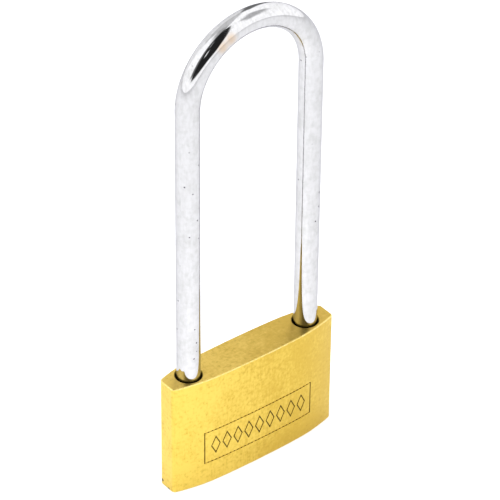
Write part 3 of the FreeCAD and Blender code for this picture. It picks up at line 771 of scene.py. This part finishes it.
@dataclass
class BrassBody:
    """The solid brass body: barrel plan, rounded edges, bores and engraved front."""

    finishes: Finishes
    half_width: float = 25.0
    height: float = 32.4
    half_thickness: float = 5.1
    end_half_thickness: float = 2.6
    face_radius: float = 300.0
    face_half_length: float = 12.0
    corner: float = 1.0
    edge: float = 0.25
    edge_steps: int = 5
    leg_hole: float = 3.35
    rim: float = 0.2
    heel_floor: float = 4.0
    toe_floor: float = 21.0
    plug_x: float = 4.0
    plug_bore: float = 3.85
    bolt_bore: float = 2.1
    bolt_bore_end: float = -11.0
    pin_bore: float = 1.25
    hairline: float = 0.02
    drive_pins: tuple[Bore, ...] = (
        Bore((-15.3, 0, 24.1), Axis.DEPTH, ((-2.6, 1.02), (6.0, 1.02)), 48),
        Bore((0.05, 0, 18.2), Axis.DEPTH, ((-2.0, 0.77), (6.0, 0.77)), 48),
    )
    patch_margin: float = 0.8
    fill_inset: tuple[float, float] = (0.4, 0.6)
    fill_counts: tuple[int, int] = (45, 42)
    fill_clear: float = 0.16
    engraving: Engraving = field(default_factory=Engraving)

    def arcs(self) -> list[Arc]:
        """The outline's quarter with positive X and Y, from the end to mid width."""
        slope = math.asin(self.face_half_length / self.face_radius)
        face_y = self.half_thickness - self.face_radius
        joint = np.array([self.face_half_length, face_y + self.face_radius * math.cos(slope)])
        out = np.array([math.sin(slope), math.cos(slope)])
        tip = np.array([self.half_width, self.end_half_thickness])
        gap = joint - tip
        radius = (gap @ gap) / (2 * (gap @ out))
        centre = joint - radius * out
        core = radius - self.corner
        corner_x = self.half_width - self.corner
        corner_y = centre[1] + math.sqrt(core**2 - (corner_x - centre[0]) ** 2)
        lean = math.atan2(corner_y - centre[1], corner_x - centre[0])
        level = math.pi / 2
        return [
            Arc((corner_x, corner_y), self.corner, 0.0, lean, 9),
            Arc((centre[0], centre[1]), radius, lean, level - slope, 34),
            Arc((0.0, face_y), self.face_radius, level - slope, level, 24),
        ]

    def outline(self) -> tuple[Array, Array]:
        """The whole outline against the clock, and its outward normals."""
        runs = [arc.points() for arc in self.arcs()]
        keep = [runs[0], *[(p[1:], n[1:]) for p, n in runs[1:]]]
        quarter, normals = (np.concatenate([run[k] for run in keep]) for k in (0, 1))
        points, outward = [], []
        for flip, back in (((1, 1), 1), ((-1, 1), -1), ((-1, -1), 1), ((1, -1), -1)):
            part, normal = (quarter * flip)[::back], (normals * flip)[::back]
            middle = abs(part[0][0]) < 1e-9
            points.append(part[1:] if middle else part)
            outward.append(normal[1:] if middle else normal)
        return np.concatenate(points), np.concatenate(outward)

    def half_depth(self, x: Array) -> Array:
        """Half the thickness at a place along the width."""
        _, flank, face = self.arcs()
        x = np.abs(x)
        inner = face.centre[1] + np.sqrt(face.radius**2 - x**2)
        outer = flank.centre[1] + np.sqrt(flank.radius**2 - (x - flank.centre[0]) ** 2)
        return np.where(x <= self.face_half_length, inner, outer)

    def plan_normals(self, points: Array) -> Array:
        """Outward normals of the upright walls at any points near them."""
        corner, flank, face = self.arcs()
        sign = np.where(points[:, :2] < 0, -1.0, 1.0)
        place = np.abs(points[:, :2])
        middle = (place[:, 0] <= self.face_half_length)[:, None]
        centre = np.where(middle, face.centre, flank.centre)
        ends = place[:, 0] > corner.centre[0] + corner.radius * math.cos(corner.stop)
        centre[ends] = corner.centre
        away = place - centre
        away[ends & (place[:, 1] < corner.centre[1]), 1] = 0.0
        return np.column_stack([unit(away) * sign, np.zeros(len(points))])

    def bores(self) -> list[Bore]:
        """Everything that is drilled, with its place and size."""
        over, wide, fit = 1.0, self.leg_hole, self.pin_bore + self.hairline
        mouth = ((self.height - self.rim, wide), (self.height + over, wide + self.rim + over))
        end, bolt = self.half_width + over, self.bolt_bore + self.hairline
        plug, level = self.plug_bore, BOLT_LEVEL
        return [
            Bore((-LEG_X, 0, 0), Axis.HEIGHT, ((self.heel_floor, wide), *mouth), 96),
            Bore((LEG_X, 0, 0), Axis.HEIGHT, ((self.toe_floor, wide), *mouth), 96),
            Bore((self.plug_x, 0, 0), Axis.HEIGHT, ((-over, plug), (level, plug)), 96),
            Bore((0, 0, level), Axis.WIDTH, ((self.bolt_bore_end, bolt), (end, bolt)), 72),
            *self.drive_pins,
            *[
                Bore((0, 0, pin), Axis.WIDTH, ((self.plug_x, fit), (end, fit)), 48)
                for pin in PIN_LEVELS
            ],
        ]

    def front_patch(self, columns: Array, low: float, high: float, work: Patchwork) -> None:
        """Adds the middle of the front, with the engraved lines sunk into it.

        Args:
            columns: Rising places along the width where the patch meets its neighbours.
            low: Lower edge of the patch.
            high: Upper edge of the patch.
            work: Where the patch is added.
        """
        count = len(columns)
        flat = [(x, low) for x in columns] + [(x, high) for x in columns[::-1]]
        edges = [(i, (i + 1) % (2 * count)) for i in range(2 * count)]
        depths = [0.0] * len(flat)
        loops = self.engraving.frame_loops()
        loops += self.engraving.lozenge_loops(self.finishes["brass_engraved"])
        for loop, depth in loops:
            start = len(flat)
            flat += [tuple(p) for p in loop]
            depths += [depth] * len(loop)
            edges += [(start + i, start + (i + 1) % len(loop)) for i in range(len(loop))]
        reach = columns[-1] - self.fill_inset[0]
        lift, (columns_in, rows_in) = self.fill_inset[1], self.fill_counts
        grid = [
            (x, z)
            for x in np.linspace(-reach, reach, columns_in)
            for z in np.linspace(low + lift, high - lift, rows_in)
        ]
        flat += [point for point, near in zip(grid, self.on_lines(grid, loops)) if not near]
        depths += [0.0] * (len(flat) - len(depths))
        made, _, faces, origin, *_ = delaunay_2d_cdt([Vector(p) for p in flat], edges, [], 0, 1e-6)
        sunk = np.array([depths[o[0]] if o else 0.0 for o in origin])
        place = np.array([tuple(p) for p in made])
        front = sunk - self.half_depth(place[:, 0])
        work.add(np.column_stack([place[:, 0], front, place[:, 1]]), faces)

    def on_lines(self, points: Sequence[Place], loops: Sequence[Outline]) -> Array:
        """Whether each point lies within an engraved line, or right beside one."""
        place = np.array(points)
        near = np.zeros(len(place), bool)
        for loop, _ in loops:
            for a, b in zip(loop, np.roll(loop, -1, axis=0)):
                run = b - a
                share = np.clip((place - a) @ run / (run @ run), 0, 1)[:, None]
                near |= np.linalg.norm(place - a - share * run, axis=1) < self.fill_clear
        return near

    def shell(self) -> Item:
        """The outer shell before drilling."""
        work = Patchwork()
        points, normals = self.outline()
        low, high = self.edge, self.height - self.edge
        reach = self.engraving.half_length + self.patch_margin
        front = [i for i, p in enumerate(points) if p[1] < 0 and abs(p[0]) <= reach]
        inner = set(front[:-1])
        angles = np.linspace(0, math.pi / 2, self.edge_steps + 1)
        top, bottom = [], []
        for angle in angles:
            ring = points - normals * self.edge * (1 - math.cos(angle))
            rise = self.edge * math.sin(angle)
            top.append(np.column_stack([ring, np.full(len(ring), high + rise)]))
            bottom.append(np.column_stack([ring, np.full(len(ring), low - rise)]))
        work.add_bands([bottom[0], top[0]], skip=inner)
        work.add_bands(top)
        work.add_bands(bottom[::-1])
        work.add(top[-1], [list(range(len(points)))])
        work.add(bottom[-1], [list(range(len(points)))[::-1]])
        self.front_patch(points[front][:, 0], low, high, work)
        return work.build("brass_body")

    def surfaces(self, points: Array) -> Normals:
        """The walls, rounded edges and bores, for smooth_as_made."""
        level = points[:, 2]
        rise = np.clip((level - (self.height - self.edge)) / self.edge, 0, 1)
        rise -= np.clip((self.edge - level) / self.edge, 0, 1)
        wall = self.plan_normals(points) * np.sqrt(1 - rise**2)[:, None]
        wall[:, 2] = rise
        found = [(wall, np.ones(len(points), bool))]
        return found + [bore.inward(points) for bore in self.bores()]

    def paint(self, mesh: bpy.types.Mesh) -> None:
        """Gives each face the finish of the tool that made it."""
        e = self.engraving
        mesh.materials.clear()
        for work in ("drawn", "milled", "bored", "engraved", "scored"):
            mesh.materials.append(self.finishes[f"brass_{work}"])
        drawn, milled, bored, engraved, scored = range(5)
        skin, margin, cut, deep, end_zone, upright, level = 0.02, 0.1, 0.035, 0.3, 0.6, 0.9, 0.95
        facing = np.abs(fetch(mesh.polygons, "normal"))
        x, y, z = fetch(mesh.polygons, "center").T / MM
        side, sunk = np.abs(x), self.half_depth(x) - np.abs(y)
        inside = (sunk > deep) & (side <= self.half_width - end_zone)
        lines = (y < 0) & (sunk > cut) & ~inside & (side < e.half_length + margin)
        lines &= (z > e.low - margin) & (z < e.high + margin)
        framed = side > e.half_length - e.line - margin
        framed |= np.abs(z - (e.low + e.high) / 2) > (e.high - e.low) / 2 - e.line - margin
        kind = np.full(len(x), drawn, np.int32)
        kind[lines] = engraved
        kind[lines & framed] = scored
        kind[inside] = bored
        kind[(side > self.half_width - skin) & (facing[:, 0] > upright)] = drawn
        kind[(facing[:, 2] > level) & ((z > self.height - skin) | (z < skin))] = milled
        mesh.polygons.foreach_set("material_index", kind)
        mesh.update()

    def build(self) -> Item:
        """Builds, drills, smooths and dresses the body."""
        body = self.shell()
        carve(body, [bore.build() for bore in self.bores()])
        smooth_as_made(body.data, self.surfaces)
        self.paint(body.data)
        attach(body, "lock_body")
        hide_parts("lock_body")
        return body


# ---- the shackle


@dataclass
class Shackle:
    """The plated rod: short leg (toe) at +X, long leg (heel) at -X."""

    finishes: Finishes
    radius: float = 3.0
    bend_level: float = 108.4
    toe_foot: float = 22.0
    heel_foot: float = 10.5
    bevel: float = 0.7
    neck_low: float = 12.0
    neck_high: float = 14.2
    neck_radius: float = 1.8
    shoulder: float = 0.001
    plain_above_neck: float = 4.0
    flat_top: float = 25.2
    flat_x: float = -16.4
    notch_x: float = 17.4
    notch_low: float = 23.85
    notch_high: float = 28.55
    facets: int = 96
    bend_steps: int = 144
    heel_steps: int = 24
    toe_steps: int = 22
    cut_width: float = 5.0
    cut_over: float = 2.0
    slack: float = 0.01

    def path(self) -> list[tuple[float, float, float]]:
        """Points of the centre line as X, Z and share of the full radius."""
        foot, neck = 1 - self.bevel / self.radius, self.neck_radius / self.radius
        heel = [
            (self.heel_foot, foot),
            (self.heel_foot + self.bevel, 1.0),
            (self.neck_low, 1.0),
            (self.neck_low + self.shoulder, neck),
            (self.neck_high, neck),
            (self.neck_high + self.shoulder, 1.0),
        ]
        start = self.neck_high + self.plain_above_neck
        up = np.linspace(start, self.bend_level, self.heel_steps)[:-1]
        heel += [(z, 1.0) for z in up]
        line = [(-LEG_X, z, share) for z, share in heel]
        for turn in np.linspace(math.pi, 0, self.bend_steps + 1):
            x, z = LEG_X * math.cos(turn), LEG_X * math.sin(turn)
            line.append((x, self.bend_level + z, 1.0))
        down = np.linspace(self.bend_level, self.toe_foot + self.bevel, self.toe_steps)[1:]
        line += [(LEG_X, z, 1.0) for z in down]
        line.append((LEG_X, self.toe_foot, foot))
        return line

    def sweep(self) -> Item:
        """The rod, swept along its path by geometry nodes."""
        line = self.path()
        curve = bpy.data.curves.new("shackle_rod", "CURVE")
        curve.dimensions = "3D"
        spline = curve.splines.new("POLY")
        spline.points.add(len(line) - 1)
        for point, (x, z, share) in zip(spline.points, line):
            point.co = (x * MM, 0.0, z * MM, 1.0)
            point.radius = share
        host = link("shackle_rod", curve)
        tree = Tree("rod_sweep", {
            "Rod Radius": self.radius * MM,
            "Facets": self.facets,
            "Material": self.finishes["chrome_plate"],
        })
        ring = tree.put("CurvePrimitiveCircle", {
            "Resolution": tree.size("Facets"), "Radius": tree.size("Rod Radius"),
        })
        rod = tree.put("CurveToMesh", {
            "Curve": tree.size("Geometry"), "Profile Curve": ring,
            "Scale": tree.put("InputRadius"), "Fill Caps": True,
        })
        made = tree.run(rod, host)
        weld(made.data)
        return made

    def surfaces(self, points: Array) -> Normals:
        """The rod's round wall and the bevels at its feet."""
        side = np.where(points[:, 0] < 0, -1.0, 1.0)
        out = points - np.column_stack([side * LEG_X, np.zeros((len(points), 2))])
        out[:, 2] = 0.0
        bend = points[:, 2] > self.bend_level
        arm = points[bend] * (1, 0, 1) - (0, 0, self.bend_level)
        arm *= LEG_X / np.linalg.norm(arm, axis=1)[:, None]
        out[bend] = points[bend] - (0, 0, self.bend_level) - arm
        out = unit(out)
        lean = (out - (0, 0, 1)) / math.sqrt(2)
        everywhere = np.ones(len(points), bool)
        foot = np.where(points[:, 0] < 0, self.heel_foot, self.toe_foot)
        feet = points[:, 2] < foot + self.bevel + self.slack
        return [(out, everywhere), (lean, feet)]

    def build(self) -> Item:
        """Sweeps, notches, smooths and dresses the rod."""
        rod = self.sweep()
        wide, over = self.cut_width, self.cut_over
        carve(rod, [
            block((self.notch_x - self.radius - over, -wide, self.notch_low),
                  (self.notch_x, wide, self.notch_high)),
            block((self.flat_x, -wide, self.neck_low + self.shoulder),
                  (self.flat_x + over, wide, self.flat_top)),
        ])
        smooth_as_made(rod.data, self.surfaces)
        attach(rod, "shackle")
        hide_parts("shackle")
        return rod


# ---- the springs


@dataclass
class Coil:
    """One wound spring, between a fixed seat in the body and what it pushes.

    Attributes:
        node: The CAD node that it stands for.
        pushed: The CAD body at its moving end; not used.
        axis: The way it lies.
        seat: Middle of its fixed end.
        length: From that end to the moving end; negative runs backwards.
        wire: Wire thickness.
        width: Outer diameter.
        turns: Number of turns.
        steps: Points along each turn.
        facets: Sides of the wire.
    """

    node: str
    pushed: str
    axis: Axis
    seat: tuple[float, float, float]
    length: float
    wire: float
    width: float
    turns: float
    steps: int = 28
    facets: int = 12

    def build(self, finishes: Finishes) -> Item:
        """Winds the spring with geometry nodes and sets it at its seat."""
        tree = Tree(f"coil_{self.node}", {
            "Wire Radius": self.wire / 2 * MM,
            "Coil Radius": (self.width - self.wire) / 2 * MM,
            "Turns": self.turns,
            "Height": (abs(self.length) - self.wire) * MM,
            "Steps": self.steps,
            "Facets": self.facets,
            "Material": finishes["spring_wire"],
        })
        radius = tree.size("Coil Radius")
        line = tree.put("CurveSpiral", {
            "Resolution": tree.size("Steps"), "Rotations": tree.size("Turns"),
            "Start Radius": radius, "End Radius": radius, "Height": tree.size("Height"),
        })
        ring = tree.put("CurvePrimitiveCircle", {
            "Resolution": tree.size("Facets"), "Radius": tree.size("Wire Radius"),
        })
        wire = tree.put("CurveToMesh", {"Curve": line, "Profile Curve": ring, "Fill Caps": True})
        lift = tree.put("ShaderNodeCombineXYZ", {2: tree.size("Wire Radius")})
        raised = tree.put("Transform", {"Geometry": wire, "Translation": lift})
        coil = tree.run(raised, link(f"{self.node}_wound", bpy.data.meshes.new(self.node)))
        across, up, along = self.axis.frame()
        way = math.copysign(1.0, self.length)
        turn = Matrix((across * way, up, along * way)).transposed().to_4x4()
        coil.data.transform(Matrix.Translation(Vector(self.seat) * MM) @ turn)
        weld(coil.data)
        for face in coil.data.polygons:
            face.use_smooth = len(face.vertices) == 4
        seat = np.array(self.seat) * MM
        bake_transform(coil)
        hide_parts(self.node)
        return coil


@dataclass
class Springs:
    """All seven springs."""

    finishes: Finishes

    def coils(self) -> list[Coil]:
        """The springs with their places and sizes."""
        return [
            Coil("shackle_spring", "shackle", Axis.HEIGHT, (-LEG_X, 0.0, 4.05), 6.4, 0.6, 5.2, 5.0),
            Coil("latch_spring", "latch_bolt", Axis.WIDTH, (-10.95, 0.0, BOLT_LEVEL),
                 8.9, 0.45, 3.5, 7.0),
            *[
                Coil(f"pin_spring_{i}", f"driver_pin_{i}", Axis.WIDTH, (21.45, 0.0, level),
                     -9.35, 0.3, 2.1, 7.0)
                for i, level in enumerate(PIN_LEVELS, start=1)
            ],
        ]

    def build(self) -> list[Item]:
        """Builds every spring."""
        return [coil.build(self.finishes) for coil in self.coils()]


# ---- kept nodes


@dataclass
class CylinderAndTrim:
    """The CAD nodes that stay: cylinder, cam, bolt, pins and the flush brass plugs."""

    finishes: Finishes

    def finish_of(self) -> dict[str, str]:
        """Which finish each node gets."""
        trim, pins, steel = "brass_trim", "brass_pins", "ground_steel"
        found = {
            "key_plug": "brass_plug_face",
            "plug_cam": steel,
            "latch_bolt": steel,
            "latch_bore_plug": trim,
            "heel_retaining_pin": trim,
            "plug_retaining_pin": trim,
        }
        for i in range(1, len(PIN_LEVELS) + 1):
            found |= {f"key_pin_{i}": pins, f"driver_pin_{i}": pins, f"chamber_plug_{i}": trim}
        return found

    def dress(self, frame: dict) -> list[Item]:
        """Puts the finishes on the nodes."""
        dressed = []
        for node, finish in self.finish_of().items():
            item = frame["nodes"][node]
            if not item.material_slots:
                item.data.materials.append(self.finishes[finish])
            for slot in item.material_slots:
                slot.material = self.finishes[finish]
            dressed.append(item)
        return dressed


# ---- the studio


@dataclass(frozen=True)
class SkyPatch:
    """A soft-edged area of the surroundings with a brightness of its own, in degrees.

    Attributes:
        west: Its left side, from -Y towards +X.
        east: Its right side.
        low: Its lower side above the floor's level.
        high: Its upper side.
        soft: Width of its fading edge.
        glow: Brightness inside.
    """

    west: float
    east: float
    low: float
    high: float
    soft: float
    glow: float

    def mask(self, c: Canvas, azimuth: Socket,
             elevation: Socket) -> Socket:
        """One inside the patch, nothing outside.

        Args:
            c: The world's tree.
            azimuth: Direction round the lock, in radians.
            elevation: Direction above the floor, in radians.

        Returns:
            The mask.
        """
        sides = (self.west, self.east, self.low, self.high)
        west, east, low, high = (math.radians(side) for side in sides)
        soft, half = math.radians(self.soft / 2), (east - west) / 2
        turn = c.math("COSINE", c.math("SUBTRACT", azimuth, (west + east) / 2))
        across = c.fade(turn, math.cos(half + soft), math.cos(half - soft))
        rise = c.math("ABSOLUTE", c.math("SUBTRACT", elevation, (low + high) / 2))
        half = (high - low) / 2
        along = c.fade(rise, half - soft, half + soft, 1.0, 0.0)
        return c.math("MULTIPLY", across, along)


def direction(azimuth: float, elevation: float) -> Vector:
    """The way to a place, by its degrees from -Y towards +X and above the floor."""
    a, e = math.radians(azimuth), math.radians(elevation)
    return Vector((math.sin(a) * math.cos(e), -math.cos(a) * math.cos(e), math.sin(e)))


@dataclass(frozen=True)
class Lamp:
    """A square soft lamp.

    Attributes:
        name: Its name.
        azimuth: Degrees from -Y towards +X.
        elevation: Degrees above the floor.
        distance: Metres from what it faces.
        size: Side in metres.
        power: Watts.
        aim: What it faces, in millimetres.
    """

    name: str
    azimuth: float
    elevation: float
    distance: float
    size: float
    power: float
    aim: tuple[float, float, float] = (0.0, 0.0, 50.0)

    def hang(self) -> Item:
        """Hangs the lamp, unseen in mirrors and by the camera."""
        lamp = bpy.data.lights.new(self.name, "AREA")
        lamp.shape, lamp.size, lamp.energy = "SQUARE", self.size, self.power
        item = link(self.name, lamp)
        way = direction(self.azimuth, self.elevation)
        item.visible_glossy = item.visible_camera = False
        item.location = way * self.distance + Vector(self.aim) * MM
        item.rotation_euler = way.to_track_quat("Z", "Y").to_euler()
        return item


@dataclass
class Studio:
    """Pale floor, soft white surroundings, large lamps and the camera."""

    glow: float = 1.85
    patches: tuple[SkyPatch, ...] = (
        SkyPatch(150.0, 215.0, 4.0, 36.0, 12.0, 1.40),
        SkyPatch(145.0, 218.0, 38.0, 100.0, 14.0, 1.00),
        SkyPatch(205.0, 300.0, 64.0, 100.0, 12.0, 0.75),
        SkyPatch(30.0, 85.0, 40.0, 68.0, 14.0, 0.80),
        SkyPatch(136.0, 151.0, -15.0, 44.0, 6.0, 0.30),
        SkyPatch(-80.0, -58.0, 14.0, 86.0, 6.0, 0.24),
        SkyPatch(-66.0, -1.0, 9.0, 80.0, 5.0, 0.03),
        SkyPatch(-49.0, -41.0, 34.0, 42.0, 3.0, 1.30),
        SkyPatch(-58.0, -50.0, 50.0, 58.0, 4.0, 0.45),
    )
    lamps: tuple[Lamp, ...] = (
        Lamp("lamp_left", -80.0, 55.0, 0.9, 0.5, 2.6),
        Lamp("lamp_over", -30.0, 80.0, 1.0, 0.8, 4.2),
        Lamp("lamp_pool", 0.0, 80.0, 0.085, 0.03, 0.026, (-38.0, -30.0, 0.0)),
    )
    floor_half: float = 3.0
    floor_level: float = -2e-5
    azimuth: float = -38.4817
    elevation: float = 35.7593
    roll: float = 0.5743
    distance: float = 744.04
    aim_level: float = 60.0
    aim_right: float = 0.38405
    aim_up: float = 1.36890
    lens: float = 222.73

    def light_surroundings(self) -> None:
        """The white surroundings, with the dim and dark areas that polished metal shows."""
        world = bpy.data.worlds.new("studio")
        bpy.context.scene.world = world
        world.use_nodes = True
        c = Canvas(world.node_tree)
        c.tree.nodes.clear()
        way = c.node("TexCoord").outputs["Generated"]
        east, north, up = c.node("SeparateXYZ", {0: way}).outputs
        azimuth = c.math("ARCTAN2", east, c.math("MULTIPLY", north, -1.0))
        elevation = c.math("ARCSINE", up)
        value: Socket | float = self.glow
        for patch in self.patches:
            mask = patch.mask(c, azimuth, elevation)
            value = c.put("Mix", {0: mask, 2: value, 3: patch.glow})
        light = c.put("Background", {"Color": (1.0, 1.0, 1.0), "Strength": value})
        c.node("OutputWorld", {"Surface": light})

    def lay_floor(self) -> Item:
        """A wide pale floor just under the lock."""
        mesh = bpy.data.meshes.new("floor")
        half, level = self.floor_half, self.floor_level
        corners = [(-half, -half), (half, -half), (half, half), (-half, half)]
        mesh.from_pydata([(x, y, level) for x, y in corners], [], [(0, 1, 2, 3)])
        floor = link("floor", mesh)
        s = Shader("pale_floor")
        tone = s.blend(s.noise(30.0, 2.0), (0.90, 0.90, 0.91), (0.94, 0.94, 0.945))
        s.set(Base_Color=tone, Roughness=0.9)
        s.surface.inputs["Specular IOR Level"].default_value = 0.1
        mesh.materials.append(s.material)
        return floor

    def set_camera(self) -> Item:
        """The camera, aimed a little beside the lock's middle."""
        a, r = math.radians(self.azimuth), math.radians(self.roll)
        back = direction(self.azimuth, self.elevation)
        level = Vector((math.cos(a), math.sin(a), 0.0))
        upright = back.cross(level)
        right = math.cos(r) * level + math.sin(r) * upright
        up = math.cos(r) * upright - math.sin(r) * level
        aim = Vector((0, 0, self.aim_level)) + self.aim_right * right + self.aim_up * up
        place = (aim + back * self.distance) * MM
        lens = bpy.data.cameras.new("camera")
        lens.lens, lens.sensor_width = self.lens, 36.0
        lens.clip_start, lens.clip_end = 0.01, 50.0
        camera = link("camera", lens)
        turn = Matrix((right, up, back)).transposed().to_4x4()
        camera.matrix_world = Matrix.Translation(place) @ turn
        bpy.context.scene.camera = camera
        return camera

    def build(self) -> None:
        """Sets up everything round the lock."""
        self.light_surroundings()
        self.lay_floor()
        for lamp in self.lamps:
            lamp.hang()
        self.set_camera()
        view = bpy.context.scene.view_settings
        view.view_transform, view.look = "Standard", "None"


# ---- all together


def main() -> None:
    """Builds the dressed padlock around the frame."""
    logging.basicConfig(level=logging.INFO, format="%(name)s: %(message)s")
    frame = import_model()
    finishes = {finish.name: finish.material() for finish in FINISHES}
    Studio().build()
    made = [BrassBody(finishes).build(), Shackle(finishes).build()]
    made += Springs(finishes).build()
    made += CylinderAndTrim(finishes).dress(frame)
    for item in made:
        LOG.info("%s: %d faces", item.name, len(item.data.polygons))


if __name__ == "__main__":
    main()
